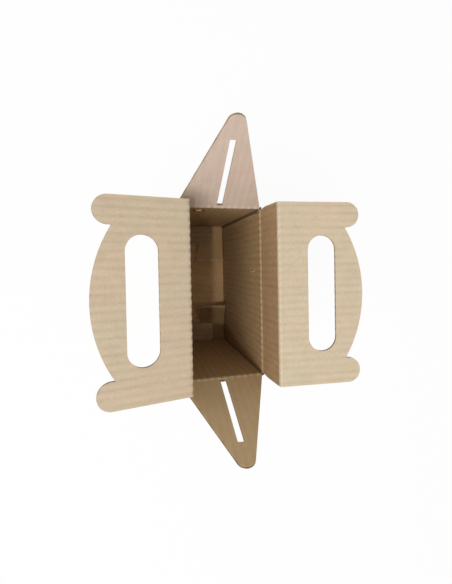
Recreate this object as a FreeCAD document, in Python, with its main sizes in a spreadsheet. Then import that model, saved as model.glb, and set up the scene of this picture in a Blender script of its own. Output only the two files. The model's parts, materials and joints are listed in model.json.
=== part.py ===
"""Carrying box of corrugated board: one die-cut blank, folded and glued, open at the top.

The walls, the glue tab and the interlocked bottom flaps are one folded sheet. A roof panel
and a handle panel are hinged in turn on each long wall, and a slit end flap on each short one.
X runs across the box, Y along it and Z up, from the middle of the base's underside.
"""
import FreeCAD, Part
import math
import os
import re

import Sketcher

# Driving sizes: alias, value in millimetres or degrees, what it is.
SIZES = [
    ("board", 2.6, "thickness of the corrugated board"),
    ("carton_length", 160.0, "crease to crease along Y, at the middle of the board"),
    ("carton_width", 81.6, "crease to crease along X, at the middle of the board"),
    ("wall_height", 182.0, "underside to the creases at the mouth"),
    ("fold_radius", 2.6, "outer radius of the folds between walls and under them"),
    ("crease_clearance", 0.45, "from a crease's round edge to the panel that swings on it"),
    ("roof_slope", 41.3, "roof panel, crease to crease"),
    ("panel_inset", 0.75, "how far roof and handle panels stop short of the end creases"),
    ("relief_depth", 1.65, "how far a roof panel's ends are cut back beside its lower crease"),
    ("relief_run", 11.2, "length of that slanting cut, measured away from the crease"),
    ("left_roof_angle", 11.3, "left roof panel at rest, inward from upright"),
    ("right_roof_angle", -3.5, "right roof panel at rest, inward from upright"),
    ("ear_reach", 71.9, "handle panel, crease to the tips of the ears"),
    ("ear_width", 21.9, "width of an ear, also the diameter of its round tip"),
    ("notch_reach", 58.8, "handle panel, crease to the bottom of the notches"),
    ("crown_reach", 74.8, "handle panel, crease to the top of the arched grip"),
    ("hand_hole_centre", 37.4, "crease to the middle of the hand hole"),
    ("hand_hole_length", 100.6, "hand hole, end to end"),
    ("hand_hole_width", 24.9, "hand hole, across"),
    ("left_handle_angle", 11.6, "left handle panel at rest, above level"),
    ("right_handle_angle", 5.6, "right handle panel at rest, above level"),
    ("flap_height", 96.2, "end flap, crease to tip"),
    ("flap_tip_radius", 7.3, "end flap's round tip"),
    ("flap_clearance", 0.4, "end flap to the long walls, each side"),
    ("slit_width", 5.4, "end flap's slit, two boards and a little"),
    ("slit_start", 2.5, "crease to the slit's lower end"),
    ("slit_end", 74.5, "crease to the slit's upper end"),
    ("slit_corner_radius", 1.1, "rounding of the slit's corners"),
    ("rear_flap_angle", 55.1, "rear end flap at rest, above level"),
    ("front_flap_angle", 67.2, "front end flap at rest, above level"),
    ("layer_gap", 0.3, "between bottom flaps that lie on each other"),
    ("base_clearance", 0.5, "between a bottom flap and the walls beside it"),
    ("ramp_angle", 35.0, "slope of a bottom flap where it climbs over another"),
    ("main_depth", 47.0, "main bottom flap, right wall to its shoulders"),
    ("main_end_inset", 1.5, "main bottom flap's ends, in from the end walls' outer faces"),
    ("main_chamfer", 9.0, "main bottom flap's outer corners"),
    ("tongue_width", 105.0, "tongue of the main bottom flap"),
    ("tongue_level_run", 49.0, "right wall to where the tongue starts to climb"),
    ("tongue_reach", 71.0, "right wall to the tongue's tip"),
    ("tongue_corner_radius", 8.0, "tongue's tip corners"),
    ("lock_level_run", 2.0, "left wall to where the lock flap starts to climb"),
    ("leg_reach", 60.6, "left wall to the tips of the lock flap's legs"),
    ("leg_gap", 1.7, "between a leg of the lock flap and the tongue"),
    ("leg_corner_radius", 3.5, "leg's tip corners"),
    ("notch_corner_radius", 1.5, "corners between the legs and the lock flap's base"),
    ("rear_minor_depth", 48.7, "rear bottom flap, wall to free edge"),
    ("front_minor_depth", 46.9, "front bottom flap, wall to free edge"),
    ("rear_minor_lift", 0.5, "how far the rear bottom flap's free edge has sprung up"),
    ("front_minor_lift", 4.0, "how far the front bottom flap's free edge has sprung up"),
    ("minor_free_width", 38.6, "bottom end flap's free edge, from the right wall"),
    ("minor_neck_width", 32.2, "bottom end flap's neck, from the right wall"),
    ("minor_neck_depth", 21.0, "end wall to the neck"),
    ("minor_crease_width", 63.0, "bottom end flap's crease, from the right wall"),
    ("tab_width", 12.0, "glue tab, from the rear wall"),
    ("tab_taper", 14.0, "height lost over the tab's slanting ends"),
    ("tab_top_margin", 7.0, "mouth crease down to the glue tab"),
    ("seam_width", 0.5, "open seam where the right wall's raw edge meets the rear wall"),
    ("seam_depth", 1.3, "depth of that seam"),
]

# Sizes that follow from the driving ones.
DERIVED = {
    "half_board": "board / 2",
    "half_width": "carton_width / 2",
    "half_length": "carton_length / 2",
    "inner_half_width": "half_width - half_board",
    "outer_half_width": "half_width + half_board",
    "inner_half_length": "half_length - half_board",
    "outer_half_length": "half_length + half_board",
    "layer": "board + layer_gap",
    "mitre": "board * tan(ramp_angle / 2)",
    "tongue_climb_start": "inner_half_width - tongue_level_run",
    "tongue_climb_end": "tongue_climb_start - 3 * layer / tan(ramp_angle)",
    "leg_inside": "tongue_width / 2 + leg_gap",
    "panel_start": "half_board + crease_clearance",
    "panel_half_length": "half_length - panel_inset",
    "ear_radius": "ear_width / 2",
    "ear_shoulder": "ear_reach - ear_radius",
    "notch_half_length": "panel_half_length - ear_width",
    "crown_rise": "crown_reach - notch_reach",
    "crown_radius": "(notch_half_length ^ 2 + crown_rise ^ 2) / (2 * crown_rise)",
    "flap_half_width": "inner_half_width - flap_clearance",
    "flap_tip_centre": "flap_height - flap_tip_radius",
}

WORD = re.compile(r"\b[a-z_]+\b(?!\()")

doc = FreeCAD.newDocument("carrying_box")
sheet = doc.addObject("Spreadsheet::Sheet", "sizes")
for row, (alias, value, note) in enumerate(SIZES, start=1):
    sheet.set(f"A{row}", alias)
    sheet.set(f"B{row}", str(value))
    sheet.setAlias(f"B{row}", alias)
    sheet.set(f"C{row}", note)
doc.recompute()


def bound(formula):
    """The formula with derived sizes spelt out and each alias read from the sheet."""
    def spell(match):
        word = match.group()
        return f"({bound(DERIVED[word])})" if word in DERIVED else f"sizes.{word}"
    return WORD.sub(spell, formula)


def value_of(formula):
    return float(sheet.evalExpression(bound(formula)))


class Outline:
    """A sketch on one of a body's origin planes, drawn point by point as closed loops.

    Every corner and every arc's centre is a formula that the sketch stays bound to.
    """

    def __init__(self, body, name, plane):
        self.sketch = body.newObject("Sketcher::SketchObject", name)
        origin = body.Origin.OriginFeatures
        self.sketch.AttachmentSupport = [(f, "") for f in origin if f.Role == plane]
        self.sketch.MapMode = "FlatFace"

    def _pin(self, kind, geometry, point, formula):
        number = self.sketch.addConstraint(
            Sketcher.Constraint(kind, -1, 1, geometry, point, value_of(formula)))
        self.sketch.setExpression(f"Constraints[{number}]", bound(formula))

    def loop(self, *steps):
        """Steps are (x, y) for a line to that corner, or (x, y, turn, cx, cy) for an arc.

        The loop starts at the last corner, and turn is "ccw" or "cw".
        """
        ends = []
        last = steps[-1]
        for step in steps:
            start = FreeCAD.Vector(value_of(last[0]), value_of(last[1]), 0)
            stop = FreeCAD.Vector(value_of(step[0]), value_of(step[1]), 0)
            if len(step) == 2:
                piece = self.sketch.addGeometry(Part.LineSegment(start, stop))
                ends.append((piece, 1, 2))
            else:
                ends.append(self._arc(start, stop, *step[2:]))
            last = step
        for number, (piece, _, tail) in enumerate(ends):
            following, head, _ = ends[(number + 1) % len(ends)]
            self.sketch.addConstraint(
                Sketcher.Constraint("Coincident", piece, tail, following, head))
            self._pin("DistanceX", piece, tail, steps[number][0])
            self._pin("DistanceY", piece, tail, steps[number][1])

    def _arc(self, start, stop, turn, centre_x, centre_y):
        centre = FreeCAD.Vector(value_of(centre_x), value_of(centre_y), 0)
        first, second = (start, stop) if turn == "ccw" else (stop, start)
        angles = [math.atan2(p.y - centre.y, p.x - centre.x) for p in (first, second)]
        circle = Part.Circle(centre, FreeCAD.Vector(0, 0, 1), (start - centre).Length)
        piece = self.sketch.addGeometry(Part.ArcOfCircle(circle, *angles))
        # The centre lies on the chord's bisector, so one of its places settles it.
        chord = stop - start
        if abs(chord.x) >= abs(chord.y):
            self._pin("DistanceY", piece, 3, centre_y)
        else:
            self._pin("DistanceX", piece, 3, centre_x)
        return (piece, 1, 2) if turn == "ccw" else (piece, 2, 1)


def new_body(label):
    return doc.addObject("PartDesign::Body", label)


def pad(body, outline, formula):
    """Pads the outline by the formula's length, half to each side of its plane."""
    feature = body.newObject("PartDesign::Pad", outline.sketch.Name + "_pad")
    feature.Profile = outline.sketch
    feature.Midplane = True
    feature.setExpression("Length", bound(formula))
    doc.recompute()


def pocket(body, outline):
    """Cuts the outline through the whole body, and makes sure that it did."""
    before = body.Shape.Volume
    feature = body.newObject("PartDesign::Pocket", outline.sketch.Name + "_cut")
    feature.Profile = outline.sketch
    feature.Midplane = True
    feature.Type = "ThroughAll"
    doc.recompute()
    if not body.Shape.Volume < before:
        raise RuntimeError(f"{outline.sketch.Name} cuts nothing")


def place(body, x, y, z, axis="0; 1; 0", angle="0"):
    body.setExpression("Placement", f"placement(vector({bound(x)}; {bound(y)}; {bound(z)}); "
                                    f"rotation(vector({axis}); {bound(angle)}))")
    doc.recompute()


# ---- The folded sheet: each wall is one bent strip with its bottom flap -------------------

def right_strip():
    """Right wall and the main bottom flap, whose tongue climbs over the lock flap."""
    body = new_body("right_strip")
    profile = Outline(body, "right_profile", "XZ_Plane")
    tip = "inner_half_width - tongue_reach"
    profile.loop(
        ("outer_half_width", "wall_height"),
        ("inner_half_width", "wall_height", "ccw", "half_width", "wall_height"),
        ("inner_half_width", "board"),
        ("tongue_climb_start + mitre", "board"),
        ("tongue_climb_end + mitre", "3 * layer + board"),
        (tip, "3 * layer + board"),
        (tip, "3 * layer"),
        ("tongue_climb_end", "3 * layer"),
        ("tongue_climb_start", "0"),
        ("outer_half_width - fold_radius", "0"),
        ("outer_half_width", "fold_radius", "ccw",
         "outer_half_width - fold_radius", "fold_radius"),
    )
    pad(body, profile, "2 * outer_half_length")

    shoulder = "inner_half_width - main_depth"
    beyond = f"{tip} - board"
    waste = Outline(body, "main_flap_waste", "XY_Plane")
    for side, turn in (("", "cw"), ("-", "ccw")):
        waste.loop(
            ("inner_half_width", f"{side}(outer_half_length + board)"),
            ("inner_half_width", f"{side}(outer_half_length - main_end_inset)"),
            (f"{shoulder} + main_chamfer", f"{side}(outer_half_length - main_end_inset)"),
            (shoulder, f"{side}(outer_half_length - main_end_inset - main_chamfer)"),
            (shoulder, f"{side}(tongue_width / 2)"),
            (f"{tip} + tongue_corner_radius", f"{side}(tongue_width / 2)"),
            (tip, f"{side}(tongue_width / 2 - tongue_corner_radius)",
             "ccw" if turn == "cw" else "cw",
             f"{tip} + tongue_corner_radius",
             f"{side}(tongue_width / 2 - tongue_corner_radius)"),
            (beyond, f"{side}(tongue_width / 2 - tongue_corner_radius)"),
            (beyond, f"{side}(outer_half_length + board)"),
        )
    pocket(body, waste)
    return body


def left_strip():
    """Left wall and the lock flap, whose two legs lie on the bottom end flaps."""
    body = new_body("left_strip")
    profile = Outline(body, "left_profile", "XZ_Plane")
    climb_start = "lock_level_run - inner_half_width"
    climb_end = f"{climb_start} + 2 * layer / tan(ramp_angle)"
    tip = "leg_reach - inner_half_width"
    profile.loop(
        ("-inner_half_width", "wall_height"),
        ("-outer_half_width", "wall_height", "ccw", "-half_width", "wall_height"),
        ("-outer_half_width", "fold_radius"),
        ("fold_radius - outer_half_width", "0", "ccw",
         "fold_radius - outer_half_width", "fold_radius"),
        (climb_start, "0"),
        (climb_end, "2 * layer"),
        (tip, "2 * layer"),
        (tip, "2 * layer + board"),
        (f"{climb_end} - mitre", "2 * layer + board"),
        (f"{climb_start} - mitre", "board"),
        ("-inner_half_width", "board"),
    )
    pad(body, profile, "2 * outer_half_length")

    edge = "inner_half_length - base_clearance"
    beyond = f"{tip} + board"
    base = "tongue_climb_end - base_clearance"
    waste = Outline(body, "lock_flap_waste", "XY_Plane")
    for side, turn, back in (("", "ccw", "cw"), ("-", "cw", "ccw")):
        waste.loop(
            ("-inner_half_width", f"{side}(outer_half_length + board)"),
            ("-inner_half_width", f"{side}({edge})"),
            (f"{tip} - leg_corner_radius", f"{side}({edge})"),
            (tip, f"{side}({edge} - leg_corner_radius)", back,
             f"{tip} - leg_corner_radius", f"{side}({edge} - leg_corner_radius)"),
            (beyond, f"{side}({edge} - leg_corner_radius)"),
            (beyond, f"{side}(outer_half_length + board)"),
        )
    waste.loop(
        (beyond, "leg_inside + leg_corner_radius"),
        (tip, "leg_inside + leg_corner_radius"),
        (f"{tip} - leg_corner_radius", "leg_inside", "cw",
         f"{tip} - leg_corner_radius", "leg_inside + leg_corner_radius"),
        (f"{base} + notch_corner_radius", "leg_inside"),
        (base, "leg_inside - notch_corner_radius", "ccw",
         f"{base} + notch_corner_radius", "leg_inside - notch_corner_radius"),
        (base, "notch_corner_radius - leg_inside"),
        (f"{base} + notch_corner_radius", "-leg_inside", "ccw",
         f"{base} + notch_corner_radius", "notch_corner_radius - leg_inside"),
        (f"{tip} - leg_corner_radius", "-leg_inside"),
        (tip, "-leg_inside - leg_corner_radius", "cw",
         f"{tip} - leg_corner_radius", "-leg_inside - leg_corner_radius"),
        (beyond, "-leg_inside - leg_corner_radius"),
    )
    pocket(body, waste)
    return body


def end_strip(label, side, depth, lift):
    """An end wall with its bottom flap; side is "" at the rear and "-" at the front.

    Past the leg that holds it down, the flap springs up towards its free edge.
    """
    body = new_body(label)
    profile = Outline(body, label + "_profile", "YZ_Plane")
    turn, back = ("cw", "ccw") if side else ("ccw", "cw")
    profile.loop(
        (f"{side}outer_half_length", "wall_height"),
        (f"{side}inner_half_length", "wall_height", turn, f"{side}half_length", "wall_height"),
        (f"{side}inner_half_length", "layer + board"),
        (f"{side}leg_inside", "layer + board"),
        (f"{side}(inner_half_length - {depth})", f"layer + board + {lift}"),
        (f"{side}(inner_half_length - {depth})", f"layer + {lift}"),
        (f"{side}leg_inside", "layer"),
        (f"{side}(outer_half_length - fold_radius)", "layer"),
        (f"{side}outer_half_length", "layer + fold_radius", turn,
         f"{side}(outer_half_length - fold_radius)", "layer + fold_radius"),
    )
    pad(body, profile, "2 * outer_half_width")

    beyond = f"{side}(inner_half_length - {depth} - board)"
    crease = f"{side}inner_half_length"
    right = "inner_half_width - base_clearance"
    waste = Outline(body, label + "_flap_waste", "XY_Plane")
    waste.loop(
        (right, crease),
        ("outer_half_width + board", crease),
        ("outer_half_width + board", beyond),
        (right, beyond),
    )
    waste.loop(
        ("-outer_half_width - board", crease),
        (f"{right} - minor_crease_width", crease),
        (f"{right} - minor_neck_width", f"{side}(inner_half_length - minor_neck_depth)"),
        (f"{right} - minor_free_width", f"{side}(inner_half_length - {depth})"),
        (f"{right} - minor_free_width", beyond),
        ("-outer_half_width - board", beyond),
    )
    pocket(body, waste)
    return body


def glue_tab():
    """The rear wall's glued tab, flat against the inside of the right wall."""
    body = new_body("glue_tab")
    outline = Outline(body, "tab_outline", "YZ_Plane")
    foot = "2 * layer + board"
    top = "wall_height - tab_top_margin"
    inside = "inner_half_length - tab_width"
    outline.loop(
        ("half_length", foot),
        ("half_length", top),
        ("inner_half_length", top),
        (inside, f"{top} - tab_taper"),
        (inside, f"{foot} + tab_taper"),
        ("inner_half_length", foot),
    )
    pad(body, outline, "board")
    place(body, "inner_half_width - half_board", "0", "0")
    return body


def fold_envelope():
    """What the finished carton fills, with round vertical folds."""
    body = new_body("fold_envelope")
    outline = Outline(body, "envelope_outline", "XY_Plane")
    x, y = "outer_half_width", "outer_half_length"
    outline.loop(
        (f"{x} - fold_radius", f"-{y}"),
        (x, f"fold_radius - {y}", "ccw", f"{x} - fold_radius", f"fold_radius - {y}"),
        (x, f"{y} - fold_radius"),
        (f"{x} - fold_radius", y, "ccw", f"{x} - fold_radius", f"{y} - fold_radius"),
        (f"fold_radius - {x}", y),
        (f"-{x}", f"{y} - fold_radius", "ccw", f"fold_radius - {x}", f"{y} - fold_radius"),
        (f"-{x}", f"fold_radius - {y}"),
        (f"fold_radius - {x}", f"-{y}", "ccw", f"fold_radius - {x}", f"fold_radius - {y}"),
    )
    pad(body, outline, "3 * wall_height")
    return body


def seam():
    """The narrow seam beside the right wall's raw edge, at the rear corner."""
    gap = doc.addObject("Part::Box", "seam")
    gap.setExpression("Length", bound("seam_width"))
    gap.setExpression("Width", bound("2 * seam_depth"))
    gap.setExpression("Height", bound("2 * wall_height"))
    place(gap, "inner_half_width", "outer_half_length - seam_depth", "-board")
    return gap


def carton_body():
    """Walls, glue tab and bottom flaps: the part of the sheet that stays folded."""
    strips = doc.addObject("Part::MultiFuse", "folded_strips")
    strips.Shapes = [
        right_strip(),
        left_strip(),
        end_strip("rear_strip", "", "rear_minor_depth", "rear_minor_lift"),
        end_strip("front_strip", "-", "front_minor_depth", "front_minor_lift"),
        glue_tab(),
    ]
    rounded = doc.addObject("Part::Common", "rounded_folds")
    rounded.Base = strips
    rounded.Tool = fold_envelope()
    carton = doc.addObject("Part::Cut", "carton_body")
    carton.Base = rounded
    carton.Tool = seam()
    doc.recompute()
    return carton


# ---- The panels that swing: each is drawn upright, with its crease along the origin -------

def roof_panel(label, side, lean):
    """A roof panel; its upper edge is the round crease that the handle panel swings on."""
    body = new_body(label)
    outline = Outline(body, label + "_outline", "YZ_Plane")
    narrow = "(panel_half_length - relief_depth)"
    outline.loop(
        (f"-{narrow}", "panel_start"),
        (narrow, "panel_start"),
        ("panel_half_length", "panel_start + relief_run"),
        ("panel_half_length", "roof_slope"),
        ("-panel_half_length", "roof_slope"),
        ("-panel_half_length", "panel_start + relief_run"),
    )
    pad(body, outline, "board")
    crease = Outline(body, label + "_crease", "XZ_Plane")
    crease.loop(
        ("half_board", "roof_slope", "cw", "0", "roof_slope"),
        ("-half_board", "roof_slope", "cw", "0", "roof_slope"),
    )
    pad(body, crease, "2 * panel_half_length")
    place(body, f"{side}half_width", "0", "wall_height", angle=lean)
    return body


def handle_panel(label, side, lean, rise):
    """A handle panel: two round ears, an arched grip between them and a hand hole."""
    body = new_body(label)
    outline = Outline(body, label + "_outline", "YZ_Plane")
    end, inner = "panel_half_length", "notch_half_length"
    outline.loop(
        (end, "panel_start"),
        (end, "ear_shoulder"),
        (inner, "ear_shoulder", "ccw", f"{end} - ear_radius", "ear_shoulder"),
        (inner, "notch_reach"),
        (f"-{inner}", "notch_reach", "ccw", "0", "crown_reach - crown_radius"),
        (f"-{inner}", "ear_shoulder"),
        (f"-{end}", "ear_shoulder", "ccw", f"ear_radius - {end}", "ear_shoulder"),
        (f"-{end}", "panel_start"),
    )
    pad(body, outline, "board")
    hole = Outline(body, label + "_hand_hole", "YZ_Plane")
    radius = "hand_hole_width / 2"
    straight = "(hand_hole_length - hand_hole_width) / 2"
    low, high = f"hand_hole_centre - {radius}", f"hand_hole_centre + {radius}"
    hole.loop(
        (straight, low),
        (straight, high, "ccw", straight, "hand_hole_centre"),
        (f"-{straight}", high),
        (f"-{straight}", low, "ccw", f"-{straight}", "hand_hole_centre"),
    )
    pocket(body, hole)
    place(body, f"{side}half_width + roof_slope * sin({lean})", "0",
          f"wall_height + roof_slope * cos({lean})", angle=f"{side}(90 - {rise})")
    return body


def end_flap(label, side, rise):
    """A triangular end flap with a round tip and a slit that goes over both handle panels."""
    body = new_body(label)
    outline = Outline(body, label + "_outline", "XZ_Plane")
    # The sloping edges run from the corners at the crease, tangent to the round tip.
    reach = "sqrt(flap_half_width ^ 2 + flap_tip_centre ^ 2)"
    slope = f"(atan(flap_half_width / flap_tip_centre) - asin(flap_tip_radius / {reach}))"
    touch_x = f"flap_tip_radius * cos({slope})"
    touch_z = f"flap_tip_centre + flap_tip_radius * sin({slope})"
    base = f"(flap_half_width - panel_start * tan({slope}))"
    outline.loop(
        (base, "panel_start"),
        (touch_x, touch_z),
        (f"-{touch_x}", touch_z, "ccw", "0", "flap_tip_centre"),
        (f"-{base}", "panel_start"),
    )
    pad(body, outline, "board")
    slit = Outline(body, label + "_slit", "XZ_Plane")
    half, corner = "slit_width / 2", "slit_corner_radius"
    slit.loop(
        (half, f"slit_end - {corner}"),
        (f"{half} - {corner}", "slit_end", "ccw", f"{half} - {corner}", f"slit_end - {corner}"),
        (f"{corner} - {half}", "slit_end"),
        (f"-{half}", f"slit_end - {corner}", "ccw",
         f"{corner} - {half}", f"slit_end - {corner}"),
        (f"-{half}", f"slit_start + {corner}"),
        (f"{corner} - {half}", "slit_start", "ccw",
         f"{corner} - {half}", f"slit_start + {corner}"),
        (f"{half} - {corner}", "slit_start"),
        (half, f"slit_start + {corner}", "ccw", f"{half} - {corner}", f"slit_start + {corner}"),
    )
    pocket(body, slit)
    place(body, "0", f"{side}half_length", "wall_height", "-1; 0; 0", f"{side}(90 - {rise})")
    return body


nodes = [
    carton_body(),
    roof_panel("left_roof_panel", "-", "left_roof_angle"),
    roof_panel("right_roof_panel", "", "-right_roof_angle"),
    handle_panel("left_handle_panel", "-", "left_roof_angle", "left_handle_angle"),
    handle_panel("right_handle_panel", "", "-right_roof_angle", "right_handle_angle"),
    end_flap("rear_end_flap", "", "rear_flap_angle"),
    end_flap("front_end_flap", "-", "front_flap_angle"),
]

doc.recompute()
for thing in doc.Objects:
    if "Invalid" in thing.State or "Error" in thing.State:
        raise RuntimeError(f"{thing.Label} failed: {thing.State}")
for node in nodes:
    if node.Shape.isNull() or not node.Shape.isValid() or len(node.Shape.Solids) != 1:
        raise RuntimeError(f"{node.Label} is not one valid solid")

os.makedirs("parts", exist_ok=True)
for node in nodes:
    node.Shape.exportStep(f"parts/{node.Label}.step")
    box = node.Shape.BoundBox
    print(f"{node.Label}: {node.Shape.Volume / 1000:.2f} cm3, "
          f"X {box.XMin:.1f} to {box.XMax:.1f}, Y {box.YMin:.1f} to {box.YMax:.1f}, "
          f"Z {box.ZMin:.1f} to {box.ZMax:.1f}")
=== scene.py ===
"""Carrying box of corrugated board, open: its boards, creases and finish, and the stage.

Every board is made as the real one is: an outer and an inner liner of kraft paper with a
wavy medium between them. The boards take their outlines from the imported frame.
"""
import json
import math

import bmesh
import bpy
from mathutils import Euler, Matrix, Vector, noise
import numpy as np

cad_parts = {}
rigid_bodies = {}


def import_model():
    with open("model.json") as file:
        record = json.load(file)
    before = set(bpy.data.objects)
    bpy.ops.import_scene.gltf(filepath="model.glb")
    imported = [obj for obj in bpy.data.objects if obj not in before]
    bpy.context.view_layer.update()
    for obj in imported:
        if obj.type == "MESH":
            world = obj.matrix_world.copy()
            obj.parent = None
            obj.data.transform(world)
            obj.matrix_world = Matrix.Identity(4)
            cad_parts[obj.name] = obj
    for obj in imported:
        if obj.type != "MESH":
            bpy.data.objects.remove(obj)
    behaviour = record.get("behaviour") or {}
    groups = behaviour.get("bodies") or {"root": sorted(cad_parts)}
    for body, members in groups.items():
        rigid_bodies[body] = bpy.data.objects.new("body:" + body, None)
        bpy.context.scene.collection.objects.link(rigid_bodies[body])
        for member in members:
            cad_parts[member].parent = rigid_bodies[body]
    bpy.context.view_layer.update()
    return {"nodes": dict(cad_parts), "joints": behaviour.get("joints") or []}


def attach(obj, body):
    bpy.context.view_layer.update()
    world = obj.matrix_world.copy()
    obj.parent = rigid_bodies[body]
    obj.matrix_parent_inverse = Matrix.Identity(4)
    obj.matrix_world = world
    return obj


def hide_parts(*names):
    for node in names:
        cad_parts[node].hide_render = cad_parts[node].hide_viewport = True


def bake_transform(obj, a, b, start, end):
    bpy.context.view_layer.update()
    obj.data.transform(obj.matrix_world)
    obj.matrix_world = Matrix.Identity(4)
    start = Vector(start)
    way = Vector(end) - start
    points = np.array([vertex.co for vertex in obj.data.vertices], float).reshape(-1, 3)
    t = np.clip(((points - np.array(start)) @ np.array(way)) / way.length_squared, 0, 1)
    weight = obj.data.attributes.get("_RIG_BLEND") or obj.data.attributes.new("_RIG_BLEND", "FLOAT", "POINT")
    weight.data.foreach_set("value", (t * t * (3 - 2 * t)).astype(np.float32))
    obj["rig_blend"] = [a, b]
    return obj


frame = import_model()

bl_info = {
    "name": "Corrugated carrying box",
    "version": (1, 0, 0),
    "blender": (4, 5, 0),
    "location": "3D View > Sidebar > Carrying Box",
    "description": "Builds the boards, creases and finish of an open carrying box, and its stage",
    "category": "Object",
}

X, Y, Z = Vector((1, 0, 0)), Vector((0, 1, 0)), Vector((0, 0, 1))
JOINTS = {joint["name"]: joint for joint in frame["joints"]}
OUTSIDE = 1.0  # a level beyond the whole box

# The vertex attributes of a board: how far it is pinched thinner, how far its inner ridge stands
# out and is painted pale, as rubbed paper and a painted highlight, and how far its cut edge is
# painted pale, as bared fibres and a painted highlight
MARKS = ("pinch", "rub", "bare")

# The carton's material slots: the medium, and its liners in this order. The inner liners are
# one paper painted lighter or darker for the light and shade on each part, and the fold's
# liner is painted shade
CARTON_LINERS = ("long_wall_outside", "long_wall_inside", "end_wall_outside", "end_wall_inside",
                 "base_inside", "lock_inside", "rear_base_inside", "front_base_inside",
                 "crushed_fold", "tab_face")
(MEDIUM, OUTER, INNER, END_OUTER, END_INNER, BASE, LOCK, REAR_BASE, FRONT_BASE,
 FOLD_SHADE, TAB) = range(1 + len(CARTON_LINERS))

# Tolerances, in metres
ON_PLANE = 1e-7  # vertices this near to a cutting plane lie on it
WELD_SKIN = 1e-6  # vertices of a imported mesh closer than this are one
WELD_PIECE = 2e-6  # the same, in a finished piece
NEAR = 1e-5  # places closer than this are the same
FINEST = 5e-5  # vertices of a sheet closer than this are one

# Tolerances of directions, as the dot product of two unit vectors
SQUARE = 0.002  # below this, they are square to each other
ALIKE = 0.9  # above this, they point much the same way
SAME = 0.9999  # above this, they are the same

# Angles between two faces, in radians
STRAIGHT = 0.005  # below this, their edge goes
GENTLE = 0.02  # below this, they belong to one flat sheet
FOLDED = math.radians(60)  # below this, they belong to one sheet with rounded folds
SHARP = math.radians(35)  # from this on, their edge is shaded sharp


# ---- Sheets: surfaces without thickness, taken from the frame --------------------------------

def marked(bm):
    """Gives the bmesh the attributes that the boards carry."""
    for name in MARKS:
        bm.verts.layers.float.new(name)
    return bm


def blank():
    """An empty bmesh with the attributes that the boards carry."""
    return marked(bmesh.new())


def skin(node, facing, across, turn=GENTLE, level=None):
    """The part of a node's surface that starts at its largest face looking the given way.

    It goes on over bends of less than turn, as long as the faces stay square to across and
    don't look straight back. With a level, it starts at the face nearest to that level along
    facing.
    """
    bm = bmesh.new()
    bm.from_mesh(frame["nodes"][node].data)
    bmesh.ops.remove_doubles(bm, verts=bm.verts, dist=WELD_SKIN)
    starts = [f for f in bm.faces if f.normal.dot(facing) > ALIKE]
    if level is None:
        seed = max(starts, key=lambda f: f.calc_area())
    else:
        seed = min(starts, key=lambda f: abs(f.calc_center_median().dot(facing) - level))
    found, front = {seed}, [seed]
    while front:
        for edge in front.pop().edges:
            if edge.calc_face_angle(math.pi) > turn:
                continue
            for face in edge.link_faces:
                fits = (abs(face.normal.dot(across)) < SQUARE
                        and face.normal.dot(facing) > -ALIKE)
                if fits and face not in found:
                    found.add(face)
                    front.append(face)
    bmesh.ops.delete(bm, geom=[f for f in bm.faces if f not in found], context="FACES")
    bmesh.ops.dissolve_limit(bm, angle_limit=STRAIGHT, verts=bm.verts, edges=bm.edges)
    return marked(bm)


def cut(bm, point, normal, clear=False):
    """Cuts the sheet along a plane, and clears what lies beyond it if asked."""
    bmesh.ops.bisect_plane(bm, geom=bm.verts[:] + bm.edges[:] + bm.faces[:], dist=ON_PLANE,
                           plane_co=point, plane_no=normal, clear_outer=clear)


def slice_up(bm, across, step):
    """Cuts the sheet square to across, once every step."""
    places = [v.co.dot(across) for v in bm.verts]
    for k in range(math.ceil(min(places) / step), math.floor(max(places) / step) + 1):
        cut(bm, across * (k * step), across)


def raise_by(verts, height):
    """Moves the vertices along their normals, as far as keeps faces at that distance."""
    moves = [v.normal * (v.calc_shell_factor() * height(v)) for v in verts]
    for v, move in zip(verts, moves):
        v.co += move


def sink_to_middle(bm):
    """Moves a sheet from the board's outer face to its middle."""
    bmesh.ops.remove_doubles(bm, verts=bm.verts, dist=FINEST)
    bm.normal_update()
    raise_by(bm.verts[:], lambda v: -BOARD / 2)


def gauge(node, facing, across):
    """The thickness of a flat node's board."""
    bm = skin(node, facing, across)
    face = bm.faces[:][0]
    level = face.calc_center_median().dot(face.normal)
    depth = level - min(v.co.dot(face.normal) for v in frame["nodes"][node].data.vertices)
    bm.free()
    return depth


BOARD = gauge("left_handle_panel", -Z, Y)
HALF_WIDTH = JOINTS["right_roof_crease"]["pos_m"][0]
HALF_LENGTH = JOINTS["rear_flap_crease"]["pos_m"][1]
MOUTH = JOINTS["rear_flap_crease"]["pos_m"][2]


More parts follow.
